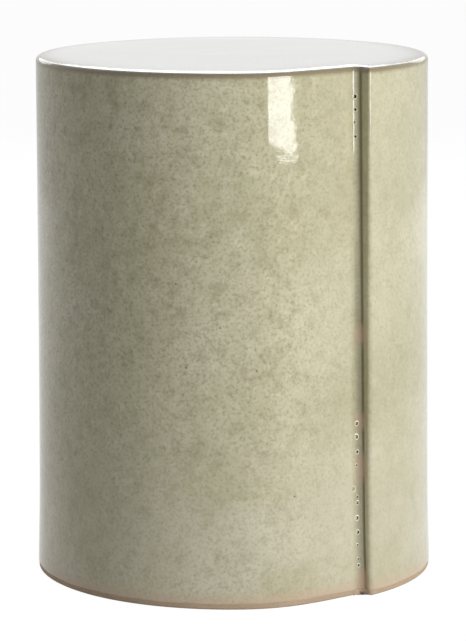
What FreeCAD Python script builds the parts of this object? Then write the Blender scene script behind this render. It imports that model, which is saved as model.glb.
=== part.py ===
"""Slab-built ceramic stool.

One rolled slab of stoneware makes the wall. It goes once round, and its outer end laps over its
inner end, so a straight step runs down the wall at the right of the front. A flat slab cut to the
same outline closes the top. Coils of clay are pressed into the corners of the joints.

Millimetres and degrees, +Z up, the front towards -Y, the origin on the floor at the centre of the
wall. Angles are counted from the front towards +X.
"""
import FreeCAD, Part

import math
import os

import Sketcher

SIZES = {
    "stool_height": 450.0,
    "seat_thickness": 15.0,
    "seat_arris": 4.0,
    "foot_bevel": 1.5,
    "foot_radius": 172.6,
    "ankle_radius": 171.2,
    "shoulder_radius": 169.2,
    "foot_slab": 10.4,
    "ankle_slab": 11.0,
    "shoulder_slab": 15.0,
    "ankle_height": 38.0,
    "bend_start_angle": 2.5,
    "bend_end_angle": 35.5,
    "seam_angle": 42.3,
    "lap_length": 45.0,
    "lap_gap": 0.5,
    "edge_round": 2.6,
    "seam_fillet": 5.5,
    "piece_gap": 0.3,
    "seam_coil_width": 6.0,
    "lap_coil_width": 10.0,
    "seat_coil_width": 12.0,
    "finger_radius": 12.0,
}
LEVELS = ("foot", "ankle", "shoulder")
SOLE = "sole"
FRONT_ANGLE = -90.0
RIGHT_ANGLE = 90.0
HORIZONTAL_AXIS = -1
ORIGIN_POINT = 1
START = 1
END = 2
CENTRE = 3

doc = FreeCAD.newDocument("CeramicStool")
sheet = doc.addObject("Spreadsheet::Sheet", "Sizes")
for row, (name, value) in enumerate(SIZES.items(), start=1):
    sheet.set(f"A{row}", name)
    sheet.set(f"B{row}", str(value))
    sheet.setAlias(f"B{row}", name)
doc.recompute()


def cell(name):
    """The expression that reads one size from the sheet."""
    return f"Sizes.{name}"


def unit(angle):
    """The flat direction at an angle in degrees from the X axis."""
    return FreeCAD.Vector(math.cos(math.radians(angle)), math.sin(math.radians(angle)), 0)


def bearing(vector):
    """The angle of a flat vector from the X axis, between 0 and 360 degrees."""
    return math.degrees(math.atan2(vector.y, vector.x)) % 360


class Level:
    """The sizes of the rolled slab's section at one height, as numbers and as expressions.

    The sole is the foot's section drawn in on both faces by the bevel, down on the floor.
    """

    def __init__(self, place):
        name = "foot" if place == SOLE else place
        bevel = SIZES["foot_bevel"] if place == SOLE else 0.0
        bevel_cell = cell("foot_bevel") if place == SOLE else "0"
        self.radius = SIZES[f"{name}_radius"] - bevel
        self.slab = SIZES[f"{name}_slab"] - 2 * bevel
        self.step = SIZES[f"{name}_slab"] + SIZES["lap_gap"]
        self.bend_start = SIZES["bend_start_angle"] + FRONT_ANGLE
        self.bend_end = SIZES["bend_end_angle"] + FRONT_ANGLE
        self.seam = SIZES["seam_angle"] + FRONT_ANGLE
        self.lap_end = self.seam + math.degrees(SIZES["lap_length"] / SIZES["ankle_radius"])
        turn = math.radians(self.bend_end - self.bend_start)
        bend_offset = self.step / (1 - math.cos(turn))
        self.bend_centre = unit(self.bend_start) * bend_offset
        self.bend_radius = self.radius - bend_offset
        self.radius_cell = f"({cell(f'{name}_radius')} - {bevel_cell})"
        self.slab_cell = f"({cell(f'{name}_slab')} - 2 * {bevel_cell})"
        self.step_cell = f"({cell(f'{name}_slab')} + {cell('lap_gap')})"
        self.tuck_cell = f"{self.radius_cell} - {self.step_cell}"
        self.bend_start_cell = f"{cell('bend_start_angle')} + {FRONT_ANGLE}"
        self.bend_end_cell = f"{cell('bend_end_angle')} + {FRONT_ANGLE}"
        self.seam_cell = f"{cell('seam_angle')} + {FRONT_ANGLE}"
        lap_turn = f"{cell('lap_length')} / {cell('ankle_radius')} * 180 / pi"
        self.lap_end_cell = f"{self.seam_cell} + {lap_turn}"
        self.height_cell = {
            SOLE: "0",
            "foot": cell("foot_bevel"),
            "ankle": cell("ankle_height"),
            "shoulder": f"{cell('stool_height')} - {cell('seat_thickness')}",
        }[place]


class Outline:
    """A sketch drawn from arcs and lines, whose constraints read the sheet."""

    def __init__(self, body, name, height_cell="0", role="XY_Plane"):
        self.sketch = body.newObject("Sketcher::SketchObject", name)
        plane = [p for p in body.Origin.OriginFeatures if p.Role == role][0]
        self.sketch.AttachmentSupport = [(plane, "")]
        self.sketch.MapMode = "FlatFace"
        self.sketch.setExpression("AttachmentOffset.Base.z", height_cell)

    def arc(self, centre, radius, start, end):
        """Adds an arc that runs counter-clockwise between two angles in degrees."""
        circle = Part.Circle(centre, FreeCAD.Vector(0, 0, 1), radius)
        turn = (end - start) % 360
        first = math.radians(start)
        return self.sketch.addGeometry(Part.ArcOfCircle(circle, first, first + math.radians(turn)))

    def line(self, start, end, construction=False):
        """Adds a straight line."""
        return self.sketch.addGeometry(Part.LineSegment(start, end), construction)

    def rule(self, *terms):
        """Adds a constraint that holds no size."""
        self.sketch.addConstraint(Sketcher.Constraint(*terms))

    def size(self, name, expression, *terms):
        """Adds a constraint whose size is read from the sheet."""
        index = self.sketch.addConstraint(Sketcher.Constraint(*terms))
        self.sketch.renameConstraint(index, name)
        self.sketch.setExpression(f"Constraints.{name}", expression)

    def about_origin(self, arc):
        """Centres an arc on the stool's own axis."""
        self.rule("Coincident", arc, CENTRE, HORIZONTAL_AXIS, ORIGIN_POINT)

    def radial(self, name, line, angle_expression, angle):
        """Points a line away from the stool's own axis at an angle."""
        self.rule("PointOnObject", HORIZONTAL_AXIS, ORIGIN_POINT, line)
        self.size(name, angle_expression, "Angle", line, math.radians(angle))

    def spoke(self, name, point, angle_expression, angle, arc, end):
        """Holds the end of an arc at an angle by a construction line from the axis."""
        spoke = self.line(FreeCAD.Vector(), point, construction=True)
        self.rule("Coincident", spoke, START, HORIZONTAL_AXIS, ORIGIN_POINT)
        self.rule("Coincident", spoke, END, arc, end)
        self.size(name, angle_expression, "Angle", spoke, math.radians(angle))


def spiral(outline, level, depth, name, expression, start, end):
    """Draws the slab's line at a depth below its outer face, from one angle round to another.

    The slab leaves its round in one bend and runs straight in, until it is tucked under the lap.
    """
    origin = FreeCAD.Vector()
    bend_radius = level.bend_radius - depth
    tuck_radius = level.radius - level.step - depth
    run_start = level.bend_centre + unit(level.bend_end) * bend_radius
    run_end = unit(level.bend_end) * tuck_radius
    round_arc = outline.arc(origin, level.radius - depth, start, level.bend_start)
    bend = outline.arc(level.bend_centre, bend_radius, level.bend_start, level.bend_end)
    run = outline.line(run_start, run_end)
    tuck = outline.arc(origin, tuck_radius, level.bend_end, end)
    outline.about_origin(round_arc)
    outline.about_origin(tuck)
    outline.rule("Tangent", round_arc, END, bend, START)
    outline.rule("Tangent", bend, END, run, START)
    outline.rule("Tangent", run, END, tuck, START)
    outline.size(f"{name}_tuck", f"{level.tuck_cell}{expression}", "Radius", tuck, tuck_radius)
    return round_arc, bend, run, tuck


def outer_spiral(outline, level, start, end):
    """Draws the slab's outer face, with the bend that all its other lines follow."""
    lines = spiral(outline, level, 0.0, "outer", "", start, end)
    round_arc, bend, run, tuck = lines
    outline.size("outer_round", level.radius_cell, "Radius", round_arc, level.radius)
    first = unit(level.bend_start) * level.radius
    last = unit(level.bend_end) * (level.radius - level.step)
    outline.spoke("bend_start", first, level.bend_start_cell, level.bend_start, bend, START)
    outline.spoke("bend_end", last, level.bend_end_cell, level.bend_end, tuck, START)
    return lines


def rounded_end(outline, level, inner_point, round_arc):
    """Draws the face of the slab's outer end and the rounding that leads it into the wall."""
    edge = SIZES["edge_round"]
    reach = level.radius - edge
    centre = unit(level.seam + math.degrees(math.asin(edge / reach))) * reach
    end_face = outline.line(inner_point, unit(level.seam) * math.sqrt(reach**2 - edge**2))
    rounding = outline.arc(centre, edge, level.seam - RIGHT_ANGLE, bearing(centre))
    outline.radial("seam_angle", end_face, level.seam_cell, level.seam)
    outline.rule("Tangent", end_face, END, rounding, START)
    outline.rule("Tangent", rounding, END, round_arc, START)
    outline.size("edge_round", cell("edge_round"), "Radius", rounding, edge)
    return end_face


def round_start(level):
    """The angle at which the wall's round begins, just past the rounded edge of the seam."""
    edge = SIZES["edge_round"]
    return level.seam + math.degrees(math.asin(edge / (level.radius - edge)))


def wall_section(body, name):
    """Draws the rolled slab's section: a band with one end tucked under the other."""
    level = Level(name)
    outline = Outline(body, f"WallSection_{name}", level.height_cell)
    outer = outer_spiral(outline, level, round_start(level), level.lap_end)
    inner = spiral(
        outline, level, level.slab, "inner", f" - {level.slab_cell}", level.seam, level.lap_end
    )
    outline.rule("Coincident", outer[1], CENTRE, inner[1], CENTRE)
    outline.rule("Parallel", outer[2], inner[2])
    lap_outer = unit(level.lap_end) * (level.radius - level.step)
    lap_inner = unit(level.lap_end) * (level.radius - level.step - level.slab)
    lap_face = outline.line(lap_inner, lap_outer)
    outline.rule("Coincident", outer[3], END, lap_face, END)
    outline.rule("Coincident", inner[3], END, lap_face, START)
    outline.radial("lap_end_angle", lap_face, level.lap_end_cell, level.lap_end)
    inner_seam = unit(level.seam) * (level.radius - level.slab)
    end_face = rounded_end(outline, level, inner_seam, outer[0])
    outline.rule("Coincident", inner[0], START, end_face, START)
    return outline.sketch


def seat_section(body):
    """Draws the seat's outline: the wall's outer line, with a concave corner at the seam."""
    level = Level("shoulder")
    outline = Outline(body, "SeatOutline", level.height_cell)
    fillet = SIZES["seam_fillet"]
    reach = level.radius - level.step + fillet
    fillet_angle = level.seam - math.degrees(math.asin(fillet / reach))
    outer = outer_spiral(outline, level, round_start(level), fillet_angle)
    corner_start = level.seam + RIGHT_ANGLE
    corner_end = fillet_angle + 2 * RIGHT_ANGLE
    corner = outline.arc(unit(fillet_angle) * reach, fillet, corner_start, corner_end)
    inner_point = unit(level.seam) * math.sqrt(reach**2 - fillet**2)
    end_face = rounded_end(outline, level, inner_point, outer[0])
    outline.rule("Tangent", outer[3], END, corner, END)
    outline.rule("Tangent", corner, START, end_face, START)
    outline.size("seam_fillet", cell("seam_fillet"), "Radius", corner, fillet)
    return outline.sketch


class Corner:
    """The corner beside one of the slab's two ends, which a coil fills with two equal faces."""

    def __init__(self, level, width_name, inside):
        gap = SIZES["piece_gap"]
        self.side = 1 if inside else -1
        self.width = SIZES[width_name]
        self.width_cell = cell(width_name)
        depth = level.slab + gap if inside else level.step - gap
        self.bed_radius = level.radius - depth
        depth_cell = level.slab_cell if inside else level.step_cell
        self.bed_cell = (
            f"{level.radius_cell} - {depth_cell} - {self.side} * {cell('piece_gap')}"
        )
        gap_turn = self.side * math.degrees(gap / level.radius)
        gap_turn_cell = f"{self.side} * {cell('piece_gap')} / {level.radius_cell} * 180 / pi"
        self.angle = (level.lap_end if inside else level.seam) + gap_turn
        end_cell = level.lap_end_cell if inside else level.seam_cell
        self.angle_cell = f"{end_cell} + {gap_turn_cell}"
        heel_turn = 2 * math.degrees(math.asin(self.width / (2 * self.bed_radius)))
        self.heel_angle = self.angle + self.side * heel_turn
        self.point = unit(self.angle) * self.bed_radius
        self.tip = unit(self.angle) * (self.bed_radius - self.side * self.width)
        self.heel = unit(self.heel_angle) * self.bed_radius


def hollow_centre(corner, heel, tip, finger):
    """The centre of the hollow that a finger wipes along a coil, from its heel to its tip."""
    middle = (heel + tip) * 0.5
    away = (middle - corner).normalize()
    return middle + away * math.sqrt(finger**2 - ((heel - tip).Length / 2) ** 2)


def coil_section(body, place, width_name, inside):
    """Draws a coil's section: a bed on the slab's face, a rise up the slab's end, a hollow face."""
    level = Level(place)
    corner = Corner(level, width_name, inside)
    outline = Outline(body, f"CoilSection_{place}", level.height_cell)
    finger = SIZES["finger_radius"]
    centre = hollow_centre(corner.point, corner.heel, corner.tip, finger)
    to_heel = bearing(corner.heel - centre)
    to_tip = bearing(corner.tip - centre)
    if inside:
        bed = outline.arc(FreeCAD.Vector(), corner.bed_radius, corner.angle, corner.heel_angle)
        rise = outline.line(corner.tip, corner.point)
        face = outline.arc(centre, finger, to_tip, to_heel)
        joints = ((bed, START, rise, END), (bed, END, face, END), (rise, START, face, START))
    else:
        bed = outline.arc(FreeCAD.Vector(), corner.bed_radius, corner.heel_angle, corner.angle)
        rise = outline.line(corner.point, corner.tip)
        face = outline.arc(centre, finger, to_tip, to_heel)
        joints = ((bed, END, rise, START), (bed, START, face, END), (rise, END, face, START))
    outline.about_origin(bed)
    for joint in joints:
        outline.rule("Coincident", *joint)
    outline.radial("corner_angle", rise, corner.angle_cell, corner.angle)
    outline.size("bed_radius", corner.bed_cell, "Radius", bed, corner.bed_radius)
    outline.size("rise", corner.width_cell, "Distance", rise, corner.width)
    outline.size("heel", corner.width_cell, "Distance", bed, START, bed, END, corner.width)
    outline.size("hollow", cell("finger_radius"), "Radius", face, finger)
    return outline.sketch


def loft(body, name, sections):
    """Joins sections at rising heights by straight walls from each one to the next."""
    feature = body.newObject("PartDesign::AdditiveLoft", name)
    feature.Profile = sections[0]
    feature.Sections = sections[1:]
    feature.Ruled = True
    body.Tip = feature
    return feature


def new_body(label):
    """Starts a sub-part."""
    body = doc.addObject("PartDesign::Body", label)
    body.Label = label
    return body


def edges_at(shape, height, tolerance=0.01):
    """Names the edges of a shape that lie flat at one height."""
    names = []
    for index, edge in enumerate(shape.Edges, start=1):
        box = edge.BoundBox
        if abs(box.ZMin - height) < tolerance and abs(box.ZMax - height) < tolerance:
            names.append(f"Edge{index}")
    return names


def make_wall():
    """The rolled slab, from its bevelled sole up to the shoulder that carries the seat."""
    body = new_body("wall_slab")
    loft(body, "Rolled", [wall_section(body, place) for place in (SOLE, *LEVELS)])
    return body


def make_seat():
    """The seat slab, cut to the wall's outline, with its upper edge rounded over."""
    body = new_body("seat_slab")
    pad = body.newObject("PartDesign::Pad", "SeatBlank")
    pad.Profile = seat_section(body)
    pad.setExpression("Length", cell("seat_thickness"))
    doc.recompute()
    arris = body.newObject("PartDesign::Fillet", "SeatArris")
    arris.Base = (pad, edges_at(pad.Shape, SIZES["stool_height"]))
    arris.setExpression("Radius", cell("seat_arris"))
    body.Tip = arris
    return body


def make_corner_coil(label, width_name, inside):
    """A coil of clay that runs up the whole wall in the corner of the lap."""
    body = new_body(label)
    loft(body, "Coil", [coil_section(body, place, width_name, inside) for place in LEVELS])
    return body


def seat_coil_path(body, level, start, start_cell):
    """Draws the line where the seat meets the inside of the wall, from the lap coil right round."""
    path = Outline(body, "SeatCoilPath", level.height_cell)
    depth = level.slab + SIZES["piece_gap"]
    depth_cell = f"{level.slab_cell} - {cell('piece_gap')}"
    lines = spiral(path, level, depth, "path", f" - {depth_cell}", start, level.lap_end)
    round_arc, bend, run, tuck = lines
    reach = level.radius - depth
    path.size("path_round", f"{level.radius_cell} - {depth_cell}", "Radius", round_arc, reach)
    tucked = reach - level.step
    spokes = (
        ("start", reach, start, start_cell, round_arc, START),
        ("bend_start", reach, level.bend_start, level.bend_start_cell, bend, START),
        ("bend_end", tucked, level.bend_end, level.bend_end_cell, tuck, START),
        ("end", tucked, level.lap_end, level.lap_end_cell, tuck, END),
    )
    for name, radius, angle, angle_cell, arc, end in spokes:
        path.spoke(name, unit(angle) * radius, angle_cell, angle, arc, end)
    return path.sketch


def seat_coil_profile(body, level, start, start_cell):
    """Draws the coil's section on the upright plane through the start of its path."""
    profile = Outline(body, "SeatCoilSection", role="XZ_Plane")
    turned = FreeCAD.Rotation(FreeCAD.Vector(0, 1, 0), start)
    profile.sketch.AttachmentOffset = FreeCAD.Placement(FreeCAD.Vector(), turned)
    profile.sketch.setExpression("AttachmentOffset.Rotation.Angle", start_cell)
    width = SIZES["seat_coil_width"]
    top = SIZES["stool_height"] - SIZES["seat_thickness"]
    reach = level.radius - level.slab - SIZES["piece_gap"]
    reach_cell = f"{level.radius_cell} - {level.slab_cell} - {cell('piece_gap')}"
    corner = FreeCAD.Vector(reach, top, 0)
    heel = FreeCAD.Vector(reach - width, top, 0)
    tip = FreeCAD.Vector(reach, top - width, 0)
    bed = profile.line(heel, corner)
    rise = profile.line(corner, tip)
    face = profile.line(tip, heel)
    profile.rule("Horizontal", bed)
    profile.rule("Vertical", rise)
    profile.rule("Equal", bed, rise)
    for first, second in ((bed, rise), (rise, face), (face, bed)):
        profile.rule("Coincident", first, END, second, START)
    profile.size("width", cell("seat_coil_width"), "Distance", bed, width)
    origin = (HORIZONTAL_AXIS, ORIGIN_POINT)
    profile.size("reach", reach_cell, "DistanceX", *origin, bed, END, reach)
    profile.size("height", level.height_cell, "DistanceY", *origin, bed, END, top)
    return profile.sketch


def make_seat_coil():
    """The coil pressed under the seat, from the lap coil right round the inside of the wall."""
    body = new_body("seat_coil")
    level = Level("shoulder")
    clear = SIZES["lap_coil_width"] + 3 * SIZES["piece_gap"]
    start = level.lap_end + math.degrees(clear / (level.radius - level.slab))
    clear_cell = f"({cell('lap_coil_width')} + 3 * {cell('piece_gap')})"
    inner_cell = f"({level.radius_cell} - {level.slab_cell})"
    start_cell = f"{level.lap_end_cell} + {clear_cell} / {inner_cell} * 180 / pi"
    pipe = body.newObject("PartDesign::AdditivePipe", "Coil")
    pipe.Spine = seat_coil_path(body, level, start, start_cell)
    pipe.Profile = seat_coil_profile(body, level, start, start_cell)
    body.Tip = pipe
    return body


make_wall()
make_seat()
make_corner_coil("seam_coil", "seam_coil_width", inside=False)
make_corner_coil("lap_coil", "lap_coil_width", inside=True)
make_seat_coil()
doc.recompute()

for thing in doc.Objects:
    if {"Invalid", "Error"} & set(thing.State):
        raise RuntimeError(f"{thing.Name} failed: {thing.State}")

os.makedirs("parts", exist_ok=True)
for body in doc.findObjects("PartDesign::Body"):
    shape = body.Shape
    if shape.isNull() or not shape.isValid() or len(shape.Solids) != 1:
        raise RuntimeError(f"{body.Label} is not one valid solid")
    shape.exportStep(f"parts/{body.Label}.step")
    box = shape.optimalBoundingBox(False, False)
    print(
        f"{body.Label}: {shape.Volume / 1000:.1f} cm3, X {box.XMin:.2f} to {box.XMax:.2f},"
        f" Y {box.YMin:.2f} to {box.YMax:.2f}, Z {box.ZMin:.2f} to {box.ZMax:.2f}"
    )
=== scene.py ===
"""The look of a slab-built stoneware stool: glazed wall and seat, pitted seam, bare clay inside.

Shapes are worked out in millimetres and written into the meshes in metres. Angles are counted
from the front, round towards +X. One function draws the glazed face of the whole stool, and the
wall, the seat and the coil in the seam are cut from it, so that the glaze runs on across them.
"""

import math

import bpy
import numpy as np
from mathutils import Matrix, Vector, noise


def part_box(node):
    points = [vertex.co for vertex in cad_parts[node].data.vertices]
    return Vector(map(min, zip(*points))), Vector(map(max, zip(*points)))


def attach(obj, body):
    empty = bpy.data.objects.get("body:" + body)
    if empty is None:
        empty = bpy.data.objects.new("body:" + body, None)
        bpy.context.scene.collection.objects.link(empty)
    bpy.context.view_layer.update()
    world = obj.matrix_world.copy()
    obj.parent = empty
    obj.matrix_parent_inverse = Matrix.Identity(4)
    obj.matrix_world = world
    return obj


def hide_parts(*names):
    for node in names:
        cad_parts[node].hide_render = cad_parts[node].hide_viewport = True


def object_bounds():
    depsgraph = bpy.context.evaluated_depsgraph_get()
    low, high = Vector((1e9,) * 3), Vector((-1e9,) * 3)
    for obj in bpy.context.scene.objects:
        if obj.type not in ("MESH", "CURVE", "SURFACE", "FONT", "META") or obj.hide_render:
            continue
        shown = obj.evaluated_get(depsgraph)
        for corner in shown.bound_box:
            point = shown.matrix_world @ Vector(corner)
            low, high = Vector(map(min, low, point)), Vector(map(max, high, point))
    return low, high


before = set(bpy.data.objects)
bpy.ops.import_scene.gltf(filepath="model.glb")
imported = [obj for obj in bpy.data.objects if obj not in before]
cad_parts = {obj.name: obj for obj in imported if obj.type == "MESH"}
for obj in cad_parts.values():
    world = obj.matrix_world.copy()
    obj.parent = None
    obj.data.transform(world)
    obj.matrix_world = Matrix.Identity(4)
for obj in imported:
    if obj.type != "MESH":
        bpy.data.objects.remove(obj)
cad_box = [list(corner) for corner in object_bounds()]

MM = 0.001
STOOL_HEIGHT = cad_box[1][2] / MM
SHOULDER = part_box("seat_slab")[0].z / MM

SEAM = math.radians(42.3)
BEND_START = math.radians(2.5)
BEND_END = math.radians(35.5)
LAP_LENGTH = 45.0
LAP_GAP = 0.5
ANKLE_RADIUS = 171.2
LAP_END = SEAM + LAP_LENGTH / ANKLE_RADIUS
FULL_TURN = 2 * math.pi
SQUARE = math.pi / 2

SHOULDER_RADIUS = 169.1
TAPER = 2.2
TAPER_POWER = 1.3
FLARE = 1.1
FLARE_HEIGHT = 45.0
SLAB_HEIGHTS = (0.0, 38.0, 435.0)
SLAB_THICKNESSES = (10.4, 11.0, 15.0)
EDGE_HEIGHTS = (0.0, 60.0, 300.0, 435.0)
EDGE_ROUNDS = (3.6, 3.0, 2.6, 1.8)
LEAST_EDGE = 0.5
SEAM_FILLET = 5.6

HOLLOW, END_FACE, EDGE, ROUND, BEND, RUN, TUCK, SEGMENTS = range(8)


def unit(angle):
    """The plan direction at an angle from the front."""
    return np.stack([np.sin(angle), -np.cos(angle)], -1)


def radius_at(z):
    """The wall's outer radius: it narrows as it rises and flares a little at the foot."""
    down = np.clip((SHOULDER - z) / SHOULDER, 0, 1)
    return SHOULDER_RADIUS + TAPER * down**TAPER_POWER + FLARE * np.exp(-((z / FLARE_HEIGHT) ** 2))


def slab_at(z):
    """The thickness of the rolled slab."""
    return np.interp(z, SLAB_HEIGHTS, SLAB_THICKNESSES)


def along(start, end, t):
    return start + (end - start) * t


def slab_line(segment, t, z, depth, start, end):
    """Points on the slab's long face: on its round, its bend, its straight run or its tuck."""
    radius = radius_at(z)
    step = slab_at(z) + LAP_GAP
    offset = step / (1 - math.cos(BEND_END - BEND_START))
    reach = (radius - depth)[..., None]
    tuck_reach = (radius - step - depth)[..., None]
    bend_centre = unit(np.full(np.shape(z), BEND_START)) * offset[..., None]
    bend_reach = (radius - offset - depth)[..., None]
    if segment == ROUND:
        return unit(along(start, FULL_TURN + BEND_START, t)) * reach
    if segment == BEND:
        return bend_centre + unit(along(BEND_START, BEND_END, t)) * bend_reach
    last = unit(np.full(np.shape(z), BEND_END))
    if segment == RUN:
        return along(bend_centre + last * bend_reach, last * tuck_reach, t[..., None])
    return unit(along(BEND_END, end, t)) * tuck_reach


def hollow_turn(z):
    """The reach and the angle of the seam's hollow round, whose centre lies outside the wall."""
    reach = radius_at(z) - slab_at(z) - LAP_GAP + SEAM_FILLET
    return reach, SEAM - np.arcsin(SEAM_FILLET / reach)


def outline(u, z, inset):
    """Points on the outline of the glazed face. u counts its segments round from the seam's hollow."""
    u = np.mod(u, SEGMENTS)
    z = z + 0 * u
    inset = inset + 0 * u
    segment = np.floor(u)
    t = u - segment
    radius = radius_at(z)
    hollow_reach, hollow_angle = hollow_turn(z)
    hollow_centre = unit(hollow_angle) * hollow_reach[..., None]
    hollow = (SEAM_FILLET + inset)[..., None]
    edge = np.maximum(np.interp(z, EDGE_HEIGHTS, EDGE_ROUNDS) - inset, LEAST_EDGE)
    edge_reach = radius - inset - edge
    edge_angle = SEAM + np.arcsin((inset + edge) / edge_reach)
    edge_centre = unit(edge_angle) * edge_reach[..., None]
    square = unit(np.full(np.shape(z), SEAM + SQUARE))
    tip = hollow_centre + square * hollow
    brink = edge_centre - square * edge[..., None]
    parts = [
        hollow_centre + unit(along(hollow_angle + math.pi, SEAM + SQUARE, t)) * hollow,
        along(tip, brink, t[..., None]),
        edge_centre + unit(along(SEAM - SQUARE, edge_angle, t)) * edge[..., None],
    ]
    for name in (ROUND, BEND, RUN, TUCK):
        parts.append(slab_line(name, t, z, inset, edge_angle, hollow_angle))
    return np.select([(segment == k)[..., None] for k in range(len(parts))], parts)


def steps(segment, count, first=0.0, last=1.0):
    """Evenly spaced places on one segment of the outline, without the last."""
    return list(segment + np.linspace(first, last, count, endpoint=False))


def rough(points, wavelength, seed):
    """Smooth noise between -1 and 1 at points in millimetres."""
    flat = points.reshape(-1, 3) / wavelength + seed
    values = [noise.noise(Vector(p)) for p in flat]
    return np.array(values).reshape(points.shape[:-1])


def lift(flat, z):
    """Plan points at a height, or at heights."""
    return np.concatenate([flat, (z + 0 * flat[..., 0])[..., None]], -1)


# The glazed face

FOOT_BEVEL = 1.5
GLAZE_EDGE_HEIGHT = 4.6
GLAZE_EDGE_WANDER = 0.7
GLAZE_COAT = 0.45
GLAZE_LIP = 0.8
SKIN_CLEARANCE = 0.1
GLAZE_EDGE_NOISE = (21.0, 5.2)
BROAD_WAVE = (0.16, 95.0, 3.1)
SHORT_WAVE = (0.03, 24.0, 7.7)
SLACK_LIFT = 0.9
SLACK_PLACES = (BEND + 0.45, RUN, TUCK, TUCK + 0.6)
SLACK_SHARES = (0, 0.27, 0.9, 1)
ARRIS = 4.0
ROLL_OFF = 0.7
ROLL_LENGTH = 13.0
ARRIS_END = math.radians(87)
TOP_CLEARANCE = 0.15
ARRIS_HEIGHT = STOOL_HEIGHT - TOP_CLEARANCE - ROLL_OFF - ARRIS
ROLL_END = 42.0
RING_PLACES = (0, 1, 2, 3, 3.08)
RING_SHARES = (0, 0.22, 0.4, 0.45, 1)
TINY = 1e-6

SIDE, ARRIS_TURN, ROLL = range(3)

UPPER_PITS = (424.5, 413.5, 403.0, 391.0)
LOWER_PITS = (148.0, 136.5, 123.5, 112.0, 84.5, 79.5, 66.5, 54.0, 43.0, 31.0, 25.5)
PIT_HEIGHTS = UPPER_PITS + LOWER_PITS
PIT_PLACE = 0.36
PIT_WIDTHS = (0.8, 1.0)
PIT_DEPTH = 1.1
PIT_RIM = 0.25
PIT_RIM_PLACE = 1.6
PIT_RIM_WIDTH = 0.45
PIT_SWAY = 0.35
PIT_SWAY_TURN = 2.4
PIT_VARIETY = 0.25
PIT_VARIETY_TURN = 5.1
PIT_LEAN = 1.6
STRAY_PIT = (91.8, -4.5)
CLAY_SHOWING = ((224.0, 9.0), (150.0, 7.0), (110.0, 12.0), (12.0, 10.0))
CLAY_BAND = ((0, 0.2, 1.6, 2.0), (0, 1, 1, 0))
# Seam darkening: partly glaze pooled in the corner, partly painted shade of the corner, end face and
# low hollow.
CORNER_PLACE = 0.93
CORNER_WIDTH = 0.27
FACE_SHADE = ((0.7, 1.0, 1.75, 2.0), (0, 0.3, 0.2, 0))
HOLLOW_SHADE = ((-0.3, 0.25, 0.6, 1.0), (0, 0.45, 0.45, 0))
HOLLOW_FADE = ((250, 330), (1, 0.1))
HOLLOW_LENGTH = SEAM_FILLET * SQUARE


def pit_places():
    """Each pit's height and how far it sits to one side; one pit lies off the row."""
    places = []
    for number, height in enumerate(PIT_HEIGHTS):
        lean = PIT_LEAN * (1 - height / SHOULDER)
        places.append((height, PIT_SWAY * math.sin(PIT_SWAY_TURN * number) - lean))
    return places + [STRAY_PIT]


def across_seam(u):
    """How far across the seam a place lies: below 0 on the tuck, above 1 on the end face."""
    return np.where(u > TUCK, u - SEGMENTS, u)


def pit_heights(u, z):
    """The row of pits that the glaze left in the seam's hollow, each with its raised rim."""
    across = (across_seam(u) - PIT_PLACE) * HOLLOW_LENGTH
    total = np.zeros(np.broadcast(u, z).shape)
    for number, (height, sideways) in enumerate(pit_places()):
        size = 1 + PIT_VARIETY * math.sin(PIT_VARIETY_TURN * number + 1)
        wide, tall = (width * size for width in PIT_WIDTHS)
        far = np.sqrt(((across - sideways) / wide) ** 2 + ((z - height) / tall) ** 2)
        total += PIT_RIM * size * np.exp(-(((far - PIT_RIM_PLACE) / PIT_RIM_WIDTH) ** 2))
        total -= PIT_DEPTH * size * np.exp(-(far**3))
    return np.where(np.abs(across) < HOLLOW_LENGTH, total, 0)


def seam_pool_and_painted_shade(u, z):
    """Pooled glaze and painted shade in the seam's corner and end face; the hollow is dark low down."""
    across = across_seam(u)
    corner = np.exp(-(((across - CORNER_PLACE) / CORNER_WIDTH) ** 2))
    face = np.interp(across, *FACE_SHADE)
    hollow = np.interp(across, *HOLLOW_SHADE) * np.interp(z, *HOLLOW_FADE)
    return np.maximum(np.maximum(corner, face), hollow) * (across < ROUND)


def clay_showing(u, z):
    """Where the pinkish clay shows through the thin glaze in the seam."""
    share = np.interp(across_seam(u), *CLAY_BAND)
    near = [np.exp(-(((z - height) / reach) ** 4)) for height, reach in CLAY_SHOWING]
    return share * np.max(near, axis=0)


def glaze_cover(points):
    """How far the glaze covers the clay: none on the foot, all of it above a wandering edge."""
    edge = GLAZE_EDGE_HEIGHT + GLAZE_EDGE_WANDER * rough(points * (1, 1, 0), *GLAZE_EDGE_NOISE)
    rise = np.clip((points[..., 2] - edge) / GLAZE_LIP, 0, 1)
    return rise * rise * (3 - 2 * rise)


def waves(points):
    """The slight unevenness of a rolled and hand-smoothed slab under its glaze."""
    both = (BROAD_WAVE, SHORT_WAVE)
    return sum(height * rough(points, length, seed) for height, length, seed in both)


def slack(u):
    """How far the slab stands out, soft and slightly full, between its bend and its tuck."""
    share = np.interp(u, SLACK_PLACES, SLACK_SHARES)
    return SLACK_LIFT * (1 - np.cos(FULL_TURN * share)) / 2


def plan_normal(u, z, inset):
    """The way out of the outline, in plan."""
    reach = 1e-4
    run = outline(u + reach, z, inset) - outline(u - reach, z, inset)
    normal = np.stack([run[..., 1], -run[..., 0]], -1)
    return normal / np.linalg.norm(normal, axis=-1, keepdims=True)


def wall_point(u, z):
    """A point on the glazed side of the wall."""
    z = np.maximum(z, 0)
    rise = np.clip(z / FOOT_BEVEL, 0, 1)
    inset = FOOT_BEVEL * (1 - rise) ** 2
    base = lift(outline(u, z, inset), z)
    height = waves(base) - GLAZE_COAT * (1 - glaze_cover(base)) - SKIN_CLEARANCE
    height = height + pit_heights(u, z) + slack(u)
    return base + lift(plan_normal(u, z, inset), 0) * height[..., None]


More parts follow.
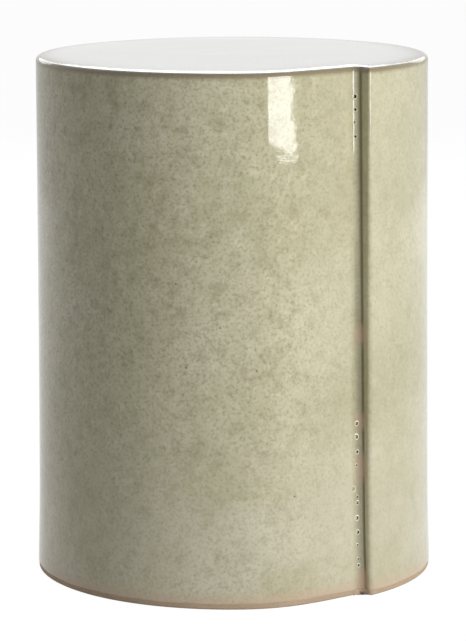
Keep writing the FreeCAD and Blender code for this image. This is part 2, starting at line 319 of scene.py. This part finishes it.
def seat_ring(u):
    """Plan points where the roll of the seat's top ends. The step is eased into a curve here."""
    u = np.mod(u, SEGMENTS)
    last = RING_PLACES[-1]
    ends = outline(np.array([SEGMENTS - TINY, last]), SHOULDER, ROLL_END)
    reach = np.hypot(ends[:, 0], ends[:, 1])
    angle = np.arctan2(ends[:, 0], -ends[:, 1])
    share = np.interp(u, RING_PLACES, RING_SHARES)
    eased = unit(along(angle[0], angle[1], share)) * along(reach[0], reach[1], share)[..., None]
    return np.where((u < last)[..., None], eased, outline(u, SHOULDER, ROLL_END))


def seat_point(u, v):
    """A point on the seat: v runs up its side, over its arris and in along its top."""
    t = v - np.clip(np.floor(v), SIDE, ROLL)
    turn = np.where(v < ARRIS_TURN, 0, np.where(v < ROLL, t, 1)) * ARRIS_END
    inset = ARRIS * (1 - np.cos(turn))
    share = np.maximum(v - ROLL, 0)
    rolled = share * (ROLL_END - ARRIS * (1 - math.cos(ARRIS_END)))
    z = np.where(v < ARRIS_TURN, along(SHOULDER, ARRIS_HEIGHT, t), ARRIS_HEIGHT + ARRIS * np.sin(turn))
    z = z + ROLL_OFF * (1 - np.exp(-rolled / ROLL_LENGTH))
    plan = along(outline(u, SHOULDER, inset), seat_ring(u), share[..., None])
    base = lift(plan, z)
    out = plan_normal(u, SHOULDER, inset)
    turn = np.where(v > ROLL, SQUARE, turn)
    normal = lift(out * np.cos(turn)[..., None], np.sin(turn))
    full = lift(out, 0) * (slack(u) * (1 - rolled / ROLL_END))[..., None]
    return base + full + normal * (waves(base) - SKIN_CLEARANCE)[..., None]


def normals_of(point, u, v, reach=(2e-3, 0.05)):
    """Outward normals of a face that is given by a function of two places."""
    around = point(u + reach[0], v) - point(u - reach[0], v)
    up = point(u, v + reach[1]) - point(u, v - reach[1])
    normal = np.cross(around, up)
    return normal / np.linalg.norm(normal, axis=-1, keepdims=True)


# Meshes


PAINTS = ("cover", "thin", "seam", "showing", "pit")
SHARP_TURN = math.radians(38)


class Shell:
    """A closed mesh in the making: points, faces, and what the glaze does at each point."""

    def __init__(self, name):
        self.name = name
        self.points = []
        self.normals = []
        self.paint = {label: [] for label in PAINTS}
        self.faces = []

    def grid(self, points, normals=None, **paint):
        """Adds points in rows and returns their numbers. Bare clay has no normals of its own."""
        flat = points.reshape(-1, 3)
        first = len(self.points)
        self.points.extend(flat * MM)
        given = np.zeros_like(flat) if normals is None else normals.reshape(-1, 3)
        self.normals.extend(given)
        shape = points.shape[:-1]
        for label, values in self.paint.items():
            values.extend(np.broadcast_to(paint.get(label, 0.0), shape).ravel())
        return np.arange(first, first + len(flat)).reshape(shape)

    def skin(self, index, closed=False):
        """Adds the faces between the rows of a grid whose rows rise and whose columns run round."""
        right = np.roll(index, -1, 1) if closed else index[:, 1:]
        left = index if closed else index[:, :-1]
        quads = np.stack([left[:-1], right[:-1], right[1:], left[1:]], -1)
        self.faces.extend(quads.reshape(-1, 4).tolist())

    def fan(self, ring, centre):
        """Closes a ring of points to one point."""
        following = np.roll(ring, -1)
        self.faces.extend([int(a), int(b), int(centre)] for a, b in zip(ring, following))

    def make(self, finish, node):
        """Makes the object, gives it its finish and hides the node that it takes the place of."""
        mesh = bpy.data.meshes.new(self.name)
        mesh.from_pydata(np.array(self.points).tolist(), [], self.faces)
        mesh.validate()
        mesh.shade_smooth()
        mesh.set_sharp_from_angle(angle=SHARP_TURN)
        for label, values in self.paint.items():
            layer = mesh.attributes.new(label, "FLOAT", "POINT")
            layer.data.foreach_set("value", np.array(values, np.float32))
        corners = np.empty(len(mesh.loops), np.int32)
        mesh.loops.foreach_get("vertex_index", corners)
        given = np.array(self.normals)[corners]
        glazed = np.linalg.norm(given, axis=1) > 0
        for face in mesh.polygons:
            span = slice(face.loop_start, face.loop_start + face.loop_total)
            if not glazed[span].all() or np.dot(given[span].mean(0), face.normal) < 0.5:
                given[span] = 0
        mesh.normals_split_custom_set(given.tolist())
        mesh.materials.append(finish)
        thing = bpy.data.objects.new(self.name, mesh)
        bpy.context.scene.collection.objects.link(thing)
        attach(thing, "root")
        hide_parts(node)
        return thing


# The wall

WALL_ROWS = (
    [0.0, 0.35, 0.8, 1.5, 2.6]
    + list(np.arange(3.4, 8.2, 0.4))
    + [9.0, 10.5, 12.5, 15.0, 18.0, 22.0, 26.0, 30.0]
    + list(np.linspace(35.0, SHOULDER, 81))
)
COIL_LEFT = 0.76
COIL_RIGHT = 0.3
COIL_DEPTH = 0.3
BED_DEPTH = 0.38
END_COLUMNS, EDGE_COLUMNS, ROUND_COLUMNS, BEND_COLUMNS, RUN_COLUMNS = 5, 8, 200, 16, 12
TUCK_COLUMNS, HIDDEN_COLUMNS = 7, 12
BARE_WAVE = (0.22, 60.0, 21.7)
BARE_GRAIN = (0.05, 9.0, 4.4)


def side_columns():
    """The outline's places on the visible face of the wall, right round from the coil to the coil."""
    return np.array(
        steps(END_FACE, END_COLUMNS, COIL_RIGHT)
        + steps(EDGE, EDGE_COLUMNS)
        + steps(ROUND, 6, 0, 0.006)
        + steps(ROUND, ROUND_COLUMNS - 6, 0.006)
        + steps(BEND, BEND_COLUMNS)
        + steps(RUN, RUN_COLUMNS)
        + steps(TUCK, TUCK_COLUMNS, 0, COIL_LEFT)
        + [TUCK + COIL_LEFT]
    )


def bare_skin(points, out):
    """Bare clay is a little rougher than glazed clay."""
    height = sum(h * (rough(points, length, seed) - 1) for h, length, seed in (BARE_WAVE, BARE_GRAIN))
    return points + out * height[..., None]


def inner_line(u, z):
    """A point on the inside of the slab, across from a place on its outside, and its way inwards."""
    segment = np.clip(np.floor(u), ROUND, TUCK)
    t = u - segment
    slab = slab_at(z) - 2 * FOOT_BEVEL * (1 - np.clip(z / FOOT_BEVEL, 0, 1)) ** 2
    inset = FOOT_BEVEL * (1 - np.clip(z / FOOT_BEVEL, 0, 1)) ** 2
    lines = [slab_line(k, t, z, slab + inset, SEAM, LAP_END) for k in (ROUND, BEND, RUN, TUCK)]
    return np.select([(segment == k)[..., None] for k in (ROUND, BEND, RUN, TUCK)], lines)


def tuck_share(angle):
    """Where an angle lies along the whole tuck, from its start to the end of the slab."""
    return (angle - BEND_END) / (LAP_END - BEND_END)


def make_wall(finish):
    """The rolled slab, glazed outside, bare inside, with one end tucked under the other."""
    shell = Shell("wall_slab_glazed")
    rows = np.array(WALL_ROWS)
    u, z = np.meshgrid(side_columns(), rows)
    outer = wall_point(u, z)
    normals = normals_of(wall_point, u, z)
    base = lift(outline(u, z, 0), z)
    on_edge = (u > END_FACE + 0.8) & (u < ROUND + 0.002)
    index = shell.grid(
        outer,
        normals,
        cover=glaze_cover(base),
        thin=0.3 * on_edge,
        seam=seam_pool_and_painted_shade(u, z),
        showing=clay_showing(u, z),
    )

    first_hidden = tuck_share(BEND_END + COIL_LEFT * (hollow_turn(rows)[1] - BEND_END))
    t = along(first_hidden[:, None], 1, np.linspace(0, 1, HIDDEN_COLUMNS)[None, :])
    hz = rows[:, None] + 0 * t
    hidden_line = slab_line(TUCK, t, hz, BED_DEPTH + 0 * t, 0, LAP_END)
    hidden = shell.grid(lift(hidden_line, hz))

    outer_u = u[0][u[0] >= ROUND]
    tuck_u = TUCK + np.linspace(0, 1, 22)[1:]
    inner_u = np.concatenate([outer_u[outer_u <= TUCK], tuck_u])[::-1]
    iu, iz = np.meshgrid(inner_u, rows)
    inside = lift(inner_line(iu, iz), iz)
    way_in = lift(-unit(np.arctan2(inside[..., 0], -inside[..., 1])), 0)
    inner = shell.grid(bare_skin(inside, way_in))

    reach = along(radius_at(rows) - slab_at(rows), radius_at(rows) - 5.0, 0.5)[:, None]
    face_flat = unit(np.full((len(rows), 1), SEAM + BED_DEPTH / ANKLE_RADIUS)) * reach[..., None]
    end_face = shell.grid(lift(face_flat, rows[:, None] + 0 * reach))

    whole = np.hstack([index, hidden, inner, end_face])
    shell.skin(whole, closed=True)
    for row, down in ((0, True), (len(rows) - 1, False)):
        close_wall_end(shell, whole[row], index.shape[1], hidden.shape[1], outer_u, down)
    return shell.make(finish, "wall_slab")


def close_wall_end(shell, ring, outer_count, hidden_count, outer_u, down):
    """Closes the top or the sole of the wall by ladder faces between its outer and inner lines."""
    start = outer_count - len(outer_u)
    outside = list(ring[start : outer_count + hidden_count])
    inside = list(ring[outer_count + hidden_count : -1])[::-1]
    lead = list(ring[: start + 1]) + [inside[0], ring[-1]]
    faces = [lead]
    a = b = 0
    while a < len(outside) - 1 or b < len(inside) - 1:
        step_out = b == len(inside) - 1 or (
            a < len(outside) - 1 and (a + 1) / len(outside) <= (b + 1) / len(inside)
        )
        if step_out:
            faces.append([outside[a], outside[a + 1], inside[b]])
            a += 1
        else:
            faces.append([outside[a], inside[b + 1], inside[b]])
            b += 1
    for face in faces:
        face = [int(k) for k in face]
        shell.faces.append(face[::-1] if down else face)


# The coil in the seam


def coil_rows():
    """Heights up the coil: close together at each pit and where the glaze ends."""
    heights = set(np.round(np.linspace(0.0, SHOULDER, 88), 2))
    for height, _ in pit_places():
        heights |= set(np.round(height + np.linspace(-3.0, 3.0, 17), 2))
    heights |= set(np.round(np.arange(3.4, 8.2, 0.4), 2))
    kept = []
    for height in sorted(heights):
        if not kept or height - kept[-1] > 0.15:
            kept.append(float(height))
    kept[-1] = SHOULDER
    return np.array(kept)


def coil_columns():
    """The outline's places across the coil, from the tuck through the hollow to the end face."""
    return np.array(
        steps(TUCK, 8, COIL_LEFT) + steps(SEGMENTS, 30) + steps(SEGMENTS + 1, 5, 0, COIL_RIGHT)
        + [SEGMENTS + 1 + COIL_RIGHT]
    )


def make_seam_coil(finish):
    """The coil that was pressed into the seam and wiped to a hollow, with its row of pits."""
    shell = Shell("seam_coil_glazed")
    rows = coil_rows()
    u, z = np.meshgrid(coil_columns(), rows)
    place = np.mod(u, SEGMENTS)
    points = wall_point(place, z)
    normals = normals_of(wall_point, place, z, (2e-3, 0.02))
    cover = glaze_cover(lift(outline(place, z, 0), z))
    front = shell.grid(
        points,
        normals,
        cover=cover,
        seam=seam_pool_and_painted_shade(place, z),
        showing=clay_showing(place, z),
        pit=pit_heights(place, z),
    )
    depth = COIL_DEPTH
    left, right = points[:, 0], points[:, -1]
    out_left = normals[:, 0] * (1, 1, 0)
    out_right = normals[:, -1] * (1, 1, 0)
    heel_reach = radius_at(rows) - slab_at(rows) - LAP_GAP - depth
    heel = lift(unit(np.full(len(rows), SEAM + depth / ANKLE_RADIUS)) * heel_reach[:, None], rows)
    back = np.stack([right - out_right * depth, heel, left - out_left * depth], 1)
    rear = shell.grid(back)
    whole = np.hstack([front, rear])
    shell.skin(whole, closed=True)
    shell.faces.append([int(k) for k in whole[0][::-1]])
    shell.faces.append([int(k) for k in whole[-1]])
    return shell.make(finish, "seam_coil")


# The seat

SEAT_RINGS = 26
UNDER_RINGS = 16
BROWN_PLACE = 1.3
BROWN_WIDTH = 0.42


def make_seat(finish):
    """The seat: its glazed side and arris, the gentle roll of its top, and its bare underside."""
    shell = Shell("seat_slab_glazed")
    columns = np.array(
        steps(HOLLOW, 14) + steps(END_FACE, 8) + steps(EDGE, 8) + steps(ROUND, 6, 0, 0.006)
        + steps(ROUND, ROUND_COLUMNS - 6, 0.006) + steps(BEND, BEND_COLUMNS)
        + steps(RUN, RUN_COLUMNS) + steps(TUCK, 10)
    )
    heights = steps(SIDE, 4) + steps(ARRIS_TURN, 10) + steps(ROLL, 14) + [ROLL + 1.0]
    u, v = np.meshgrid(columns, np.array(heights))
    side = seat_point(u, v)
    normals = normals_of(seat_point, u, v, (2e-3, 0.01))
    thin = np.exp(-(((v - BROWN_PLACE) / BROWN_WIDTH) ** 2))
    edge_rows = shell.grid(side, normals, cover=1.0, thin=thin, seam=seam_pool_and_painted_shade(u, SHOULDER))

    rim = side[-1]
    angle = np.unwrap(np.arctan2(rim[:, 0], -rim[:, 1]))
    even = unit(angle) * (SHOULDER_RADIUS - ROLL_END)
    share = np.linspace(1, 0, SEAT_RINGS, endpoint=False)[1:, None, None]
    flat = (rim[None, :, :2] * share + even[None] * (1 - share)) * share
    level = STOOL_HEIGHT - TOP_CLEARANCE - SKIN_CLEARANCE
    top = lift(flat, level)
    top[..., 2] += waves(top)
    slope = np.stack([slope_of(top, 0), slope_of(top, 1), np.ones(top.shape[:-1])], -1)
    slope /= np.linalg.norm(slope, axis=-1, keepdims=True)
    inner_rows = shell.grid(top, slope, cover=1.0)
    shell.skin(np.vstack([edge_rows, inner_rows]), closed=True)
    middle = lift(np.zeros((1, 2)), level)
    middle[..., 2] += waves(middle)
    centre = shell.grid(middle, np.array([[0.0, 0.0, 1.0]]), cover=1.0)
    shell.fan(inner_rows[-1], centre[0])

    ring = side[0]
    share = np.linspace(1, 0, UNDER_RINGS, endpoint=False)[1:, None, None]
    below = lift(ring[None, :, :2] * share, SHOULDER)
    under = shell.grid(bare_skin(below, lift(0 * below[..., :2], -1.0)))
    bottom = shell.grid(lift(np.zeros((1, 2)), SHOULDER))
    shell.skin(np.vstack([edge_rows[:1], under])[::-1], closed=True)
    shell.fan(under[-1][::-1], bottom[0])
    return shell.make(finish, "seat_slab")


def slope_of(points, axis, reach=0.5):
    """How fast the seat's top falls away along X or Y."""
    shift = np.zeros(3)
    shift[axis] = reach
    return -(waves(points + shift) - waves(points - shift)) / (2 * reach)


# The coils inside

FINGER_WAVE = (0.9, 13.0, 31.4)
COIL_GRAIN = (0.25, 4.0, 17.9)
INNER_COIL_GAP = 0.3
LAP_COIL_WIDTH = 10.0
LAP_COIL_FOOT = 1.5
SEAT_COIL_WIDTH = 12.0
TOP_SLAB = 15.0


def coil_sweep(shell, rail, sideways, ups, width, sections=9):
    """Sweeps a coil's wiped section along a rail. Its two beds meet at the rail."""
    t = np.linspace(0, 1, sections)[None, :, None]
    tip = rail + sideways * width
    heel = rail + ups * width
    face = along(tip[:, None], heel[:, None], t)
    middle = (sideways + ups)[:, None] / math.sqrt(2)
    bulge = np.sin(math.pi * t)
    press = FINGER_WAVE[0] * (rough(face, *FINGER_WAVE[1:]) - 0.4) + COIL_GRAIN[0] * (
        rough(face, *COIL_GRAIN[1:]) - 1
    )
    face = face + middle * (press[..., None] - 0.4) * bulge
    ring = np.concatenate([rail[:, None], face], 1)
    index = shell.grid(ring)[:, ::-1]
    shell.skin(index, closed=True)
    shell.faces.append([int(k) for k in index[0][::-1]])
    shell.faces.append([int(k) for k in index[-1]])


def make_lap_coil(finish):
    """The coil up the corner between the slab's inner end and the inside of the wall."""
    shell = Shell("lap_coil_clay")
    gap = INNER_COIL_GAP
    z = np.linspace(LAP_COIL_FOOT, SHOULDER, 180)
    bed = radius_at(z) - slab_at(z) - gap
    angle = LAP_END + gap / ANKLE_RADIUS
    rail = lift(unit(np.full(len(z), angle)) * bed[:, None], z)
    inwards = lift(-unit(np.full(len(z), angle)), 0)
    onwards = lift(unit(np.full(len(z), angle + SQUARE)), 0)
    coil_sweep(shell, rail, inwards, onwards, LAP_COIL_WIDTH)
    return shell.make(finish, "lap_coil")


def make_seat_coil(finish):
    """The coil pressed into the corner under the seat, right round the inside of the wall."""
    shell = Shell("seat_coil_clay")
    gap = INNER_COIL_GAP
    start = LAP_END + (LAP_COIL_WIDTH + 3 * gap) / (SHOULDER_RADIUS - TOP_SLAB)
    z = np.array(SHOULDER)
    lines = []
    for segment, count, last in ((ROUND, 330, 0), (BEND, 30, 0), (RUN, 20, 0), (TUCK, 24, 1)):
        t = np.linspace(0, 1, count + last, endpoint=bool(last))
        level = z + 0 * t
        lines.append(slab_line(segment, t, level, slab_at(level) + gap, start, LAP_END))
    flat = np.concatenate(lines)
    run = np.gradient(flat, axis=0)
    run /= np.linalg.norm(run, axis=1, keepdims=True)
    inwards = lift(np.stack([-run[:, 1], run[:, 0]], -1), 0)
    down = lift(0 * flat, -1.0)
    coil_sweep(shell, lift(flat, SHOULDER - gap), inwards, down, SEAT_COIL_WIDTH)
    return shell.make(finish, "seat_coil")


# Finishes


class Wire:
    """A socket whose arithmetic adds Math nodes."""

    def __init__(self, finish, socket):
        self.finish = finish
        self.socket = socket

    def math(self, operation, *terms):
        return self.finish.add("ShaderNodeMath", {"operation": operation}, dict(enumerate(terms)))

    def __add__(self, other):
        return self.math("ADD", self, other)

    def __sub__(self, other):
        return self.math("SUBTRACT", self, other)

    def __mul__(self, other):
        return self.math("MULTIPLY", self, other)

    def __rsub__(self, other):
        return self.math("SUBTRACT", other, self)

    __radd__ = __add__
    __rmul__ = __mul__


class Finish:
    """The nodes of one material or of the world."""

    def __init__(self, owner):
        owner.use_nodes = True
        self.owner = owner
        self.tree = owner.node_tree
        self.tree.nodes.clear()

    def add(self, kind, settings=None, sockets=None, out=0):
        """Adds a node, sets it up, fills its sockets with values or wires, and returns one output."""
        node = self.tree.nodes.new(kind)
        for name, value in (settings or {}).items():
            setattr(node, name, value)
        for name, value in (sockets or {}).items():
            if isinstance(value, Wire):
                self.tree.links.new(value.socket, node.inputs[name])
            elif value is not None:
                node.inputs[name].default_value = value
        return Wire(self, node.outputs[out]) if node.outputs else None

    def blend(self, share, first, second):
        """Mixes two colours."""
        sockets = {0: share, 6: first, 7: second}
        return self.add("ShaderNodeMix", {"data_type": "RGBA"}, sockets, out=2)

    def between(self, value, low, high):
        """A smooth step from 0 at low to 1 at high."""
        sockets = {"Value": value, "From Min": low, "From Max": high}
        return self.add("ShaderNodeMapRange", {"interpolation_type": "SMOOTHSTEP"}, sockets)

    def cloud(self, place, size, detail=2.0, seed=0.0, uneven=0.5):
        """Noise whose patches are about a given size in millimetres."""
        sockets = {"Vector": place, "W": seed, "Scale": 1000.0 / size, "Detail": detail}
        sockets["Roughness"] = uneven
        return self.add("ShaderNodeTexNoise", {"noise_dimensions": "4D"}, sockets)

    def cells(self, place, size, seed=0.0):
        """Distance to the nearest of many scattered points, which lie about a size apart."""
        sockets = {"Vector": place, "W": seed, "Scale": 1000.0 / size}
        return self.add("ShaderNodeTexVoronoi", {"voronoi_dimensions": "4D"}, sockets)

    def bump(self, height, distance, under=None):
        """Relief whose full height is a distance in millimetres, on top of other relief."""
        sockets = {"Height": height, "Distance": distance * MM, "Strength": 1.0}
        sockets["Normal"] = under
        return self.add("ShaderNodeBump", None, sockets)


def colour(red, green, blue):
    """A colour that was written in screen values from 0 to 255."""
    def linear(value):
        share = value / 255
        return share / 12.92 if share <= 0.04045 else ((share + 0.055) / 1.055) ** 2.4
    return (linear(red), linear(green), linear(blue), 1.0)


CLAY = colour(176, 154, 130)
PALE_CLAY = colour(196, 174, 148)
CLAY_SAND = colour(150, 128, 106)
CLAY_GRAIN = colour(104, 88, 72)
CELADON = colour(190, 185, 153)
PALE_CELADON = colour(202, 197, 168)
GREEN_PATCH = colour(170, 164, 130)
MILK_AND_PAINTED_LIGHT = colour(218, 212, 192)
PALE_BLOOM = colour(218, 213, 186)
OLIVE_FLECK = colour(150, 142, 108)
OLIVE_GRAIN = colour(142, 134, 100)
OLIVE_DOT = colour(122, 113, 82)
PINHOLE = colour(84, 70, 50)
FOOT_BLUSH = colour(206, 178, 152)
# Dark olive for the seam: pooled glaze together with painted shade.
POOLED_GLAZE_AND_PAINTED_SHADE = colour(98, 90, 56)
SEAM_CLAY = colour(190, 162, 136)
# Pit colours follow the pit relief: a painted highlight on the raised rims, painted shade in the sunken
# middles.
PIT_RIM_PAINTED_HIGHLIGHT = colour(222, 216, 190)
PIT_PAINTED_SHADE = colour(40, 33, 24)
RIM_BROWN = colour(138, 122, 92)
CLAY_ROUGHNESS = 0.86
CLAY_RELIEF = 0.25
GLAZE_SMOOTHING = 0.82
SEAT_COAT = 0.9


def clay_colour(finish, place):
    """Fired stoneware: pinkish tan with sand and small dark grains."""
    body = finish.blend(finish.cloud(place, 40.0), CLAY, PALE_CLAY)
    sand = finish.between(finish.cloud(place, 1.4, detail=3.0), 0.52, 0.7)
    body = finish.blend(sand * 0.5, body, CLAY_SAND)
    grains = finish.between(finish.cells(place, 3.2, seed=4.0), 0.2, 0.12)
    return finish.blend(grains * 0.55, body, CLAY_GRAIN)


def bare_clay():
    """Unglazed clay: dry and grainy."""
    finish = Finish(bpy.data.materials.new("bare_stoneware_clay"))
    place = finish.add("ShaderNodeTexCoord", out=3)
    relief = finish.bump(finish.cloud(place, 1.1, detail=4.0), CLAY_RELIEF)
    shader = finish.add(
        "ShaderNodeBsdfPrincipled",
        None,
        {"Base Color": clay_colour(finish, place), "Roughness": CLAY_ROUGHNESS, "Normal": relief},
    )
    finish.add("ShaderNodeOutputMaterial", None, {"Surface": shader})
    return finish.owner


def body_of_glaze(finish, place, sideways, height):
    """The wall's glaze: drifting celadon, milky low down partly as painted light, and an olive mottle.
    """
    drift = finish.cloud(place, 85.0, detail=2.0, seed=1.3)
    base = finish.blend(finish.between(drift, 0.35, 0.68), CELADON, PALE_CELADON)
    patches = finish.cloud(place, 22.0, detail=4.0, seed=7.1, uneven=0.6)
    base = finish.blend(finish.between(patches, 0.5, 0.75) * 0.35, base, GREEN_PATCH)
    # Lighter clouds low on the wall: partly milky glaze, partly painted light on the lower wall.
    clouds = finish.cloud(place, 60.0, detail=3.0, seed=4.4)
    milk_and_painted_light = finish.between(height, 0.19, 0.05) * finish.between(clouds, 0.38, 0.6)
    base = finish.blend(milk_and_painted_light * 0.45, base, MILK_AND_PAINTED_LIGHT)
    beside_seam = finish.between(sideways, 0.02, 0.12)
    low_down = finish.between(height, 0.2, 0.06)
    broken = (1 - beside_seam * 0.55) * (1 - low_down * 0.35)
    blooms = finish.cloud(place, 9.0, detail=3.0, seed=15.2, uneven=0.6)
    base = finish.blend(finish.between(blooms, 0.46, 0.74) * broken * 0.5, base, PALE_BLOOM)
    flecks = finish.cloud(place, 11.0, detail=4.0, seed=11.6, uneven=0.65)
    base = finish.blend(finish.between(flecks, 0.44, 0.72) * broken * 0.52, base, OLIVE_FLECK)
    grain = finish.cloud(place, 2.6, detail=3.0, seed=3.3, uneven=0.65)
    mottle = finish.between(grain, 0.44, 0.72)
    base = finish.blend(mottle * broken * 0.62, base, OLIVE_GRAIN)
    dots = finish.between(finish.cells(place, 2.9, seed=2.0), 0.3, 0.16)
    base = finish.blend(dots * broken * 0.35, base, OLIVE_DOT)
    holes = finish.between(finish.cells(place, 19.0, seed=9.0), 0.06, 0.03)
    return finish.blend(holes * 0.8, base, PINHOLE), grain, mottle, holes


def glazed_clay():
    """Glossy celadon-grey glaze over stoneware, brown where it breaks on an edge, bare at the foot."""
    finish = Finish(bpy.data.materials.new("mottled_celadon_glaze"))
    place = finish.add("ShaderNodeTexCoord", out=3)
    cover, thin, seam, showing, pit = (
        finish.add("ShaderNodeAttribute", {"attribute_name": label}, out=2) for label in PAINTS
    )
    sideways, height = (
        finish.add("ShaderNodeSeparateXYZ", None, {0: place}, out) for out in (0, 2)
    )
    base, grain, mottle, holes = body_of_glaze(finish, place, sideways, height)
    foot = finish.between(height, 0.018, 0.006)
    base = finish.blend(foot * 0.55, base, FOOT_BLUSH)
    # Painted shade: the seam is darkened, partly pooled glaze and partly painted shade of the corner
    # and step.
    base = finish.blend(seam * 0.9, base, POOLED_GLAZE_AND_PAINTED_SHADE)
    base = finish.blend(showing * 0.6, base, SEAM_CLAY)
    # Painted highlight on the pits' raised rims and painted shade in their hollows, set by the pit
    # relief.
    base = finish.blend(finish.between(pit, 0.02, 0.16), base, PIT_RIM_PAINTED_HIGHLIGHT)
    base = finish.blend(finish.between(pit, -0.06, -0.3), base, PIT_PAINTED_SHADE)
    ragged = (finish.cloud(place, 6.0, detail=3.0) - 0.5) * 0.4
    base = finish.blend(finish.between(thin + ragged, 0.15, 0.9) * 0.85, base, RIM_BROWN)
    skin = finish.blend(cover, clay_colour(finish, place), base)

    relief = finish.bump(finish.cloud(place, 7.0, detail=2.0, seed=5.5), 0.05)
    relief = finish.bump(grain - holes, 0.008, under=relief)
    clay_grain = finish.cloud(place, 1.1, detail=4.0) * (1 - cover)
    relief = finish.bump(clay_grain, CLAY_RELIEF, under=relief)
    shader = finish.add(
        "ShaderNodeBsdfPrincipled",
        None,
        {
            "Base Color": skin,
            "Roughness": CLAY_ROUGHNESS - cover * GLAZE_SMOOTHING + mottle * cover * 0.01,
            "Normal": relief,
            "Coat Weight": finish.between(height, 0.4490, 0.4497) * SEAT_COAT,
            "Coat Roughness": 0.04,
        },
    )
    finish.add("ShaderNodeOutputMaterial", None, {"Surface": shader})
    return finish.owner


# Floor, light and camera

FLOOR_HALF = 40.0
BACKDROP_WHITE = 0.97
FLOOR_COLOUR = (0.8, 0.8, 0.8, 1.0)
FLOOR_GLOW = 0.9
FLOOR_IN_GLAZE = 0.7
WORLD_DIFFUSE = 0.05
SIDE_DISTANCE = 2.4
SIDE_SIZE = (1.2, 1.6)
SIDE_AIM = (0, 0, 0.22)
SIDE_LIGHTS = ((-130, 20, 21), (10, 20, 12), (140, 20, 24))
KEY_AZIMUTH = 56
KEY_DISTANCE = 1.5
KEY_SIZE = (0.73, 0.6)
KEY_AIM = (-0.0895, -0.1326, 0.53)
KEY_POWER = 15
BACK_DISTANCE = 3.0
BACK_SIZE = (4.5, 0.9)
BACK_AIM = (0, 0, 0.45)
BACK_POWER = 19
SENSOR = 36.0
LENS = 192.1
CAMERA_PLACE = (0, -2.946, 0.732)
CAMERA_TILT = 0.173504
CAMERA_ROLL = 0.0042


def direct_rays(finish, in_gloss=1.0):
    """One where a ray comes from the camera or by a clear bounce, and a share by a glossy one."""
    camera, glossy, clear = (finish.add("ShaderNodeLightPath", None, None, out) for out in (0, 3, 6))
    return camera.math("MAXIMUM", camera, glossy.math("MAXIMUM", glossy * in_gloss, clear))


def make_floor():
    """A wide pale floor that is nearly white to the eye and still takes the stool's shadow."""
    half = FLOOR_HALF
    corners = [(-half, -half, 0), (half, -half, 0), (half, half, 0), (-half, half, 0)]
    mesh = bpy.data.meshes.new("studio_floor")
    mesh.from_pydata(corners, [], [(0, 1, 2, 3)])
    finish = Finish(bpy.data.materials.new("pale_studio_floor"))
    plain = finish.add("ShaderNodeBsdfDiffuse", None, {"Color": FLOOR_COLOUR})
    glow = finish.add("ShaderNodeEmission", None, {"Strength": BACKDROP_WHITE / FLOOR_GLOW})
    share = direct_rays(finish, FLOOR_IN_GLAZE) * FLOOR_GLOW
    mixed = finish.add("ShaderNodeMixShader", None, {0: share, 1: plain, 2: glow})
    finish.add("ShaderNodeOutputMaterial", None, {"Surface": mixed})
    mesh.materials.append(finish.owner)
    floor = bpy.data.objects.new("studio_floor", mesh)
    bpy.context.scene.collection.objects.link(floor)


def make_world():
    """White to the eye and in the glaze, dim as a light."""
    finish = Finish(bpy.data.worlds.new("studio"))
    strength = direct_rays(finish) * (BACKDROP_WHITE - WORLD_DIFFUSE) + WORLD_DIFFUSE
    glow = finish.add("ShaderNodeBackground", None, {"Color": (1, 1, 1, 1), "Strength": strength})
    finish.add("ShaderNodeOutputWorld", None, {"Surface": glow})
    bpy.context.scene.world = finish.owner


def softbox(name, azimuth, elevation, distance, size, power, aim, in_gloss=True):
    """A rectangular light at angles in degrees round from the front and up, facing a point."""
    light = bpy.data.lights.new(name, "AREA")
    light.shape = "RECTANGLE"
    light.size, light.size_y = size
    light.energy = power
    thing = bpy.data.objects.new(name, light)
    turn = math.radians(azimuth)
    rise = math.radians(elevation)
    flat = distance * math.cos(rise)
    target = Vector(aim)
    away = Vector((flat * math.sin(turn), -flat * math.cos(turn), distance * math.sin(rise)))
    facing = (-away).to_track_quat("-Z", "Y").to_matrix().to_4x4()
    thing.matrix_world = Matrix.Translation(target + away) @ facing
    thing.visible_glossy = in_gloss
    bpy.context.scene.collection.objects.link(thing)


def make_camera():
    """The photograph's view: from the front, ten degrees down, with a long lens."""
    camera = bpy.data.cameras.new("view")
    camera.sensor_fit = "VERTICAL"
    camera.sensor_height = SENSOR
    camera.lens = LENS
    thing = bpy.data.objects.new("view", camera)
    tilt = Matrix.Rotation(SQUARE - CAMERA_TILT, 4, "X")
    roll = Matrix.Rotation(-CAMERA_ROLL, 4, "Z")
    thing.matrix_world = Matrix.Translation(CAMERA_PLACE) @ tilt @ roll
    bpy.context.scene.collection.objects.link(thing)
    bpy.context.scene.camera = thing


make_camera()
make_world()
make_floor()
for azimuth, elevation, power in SIDE_LIGHTS:
    softbox(
        f"side_{azimuth}", azimuth, elevation, SIDE_DISTANCE, SIDE_SIZE, power, SIDE_AIM, in_gloss=False
    )
softbox("key", KEY_AZIMUTH, 0, KEY_DISTANCE, KEY_SIZE, KEY_POWER, KEY_AIM)
softbox("back_strip", 180, 17, BACK_DISTANCE, BACK_SIZE, BACK_POWER, BACK_AIM)

glaze = glazed_clay()
clay = bare_clay()
make_wall(glaze)
make_seam_coil(glaze)
make_seat(glaze)
make_lap_coil(clay)
make_seat_coil(clay)

bpy.context.scene.view_settings.view_transform = "Standard"
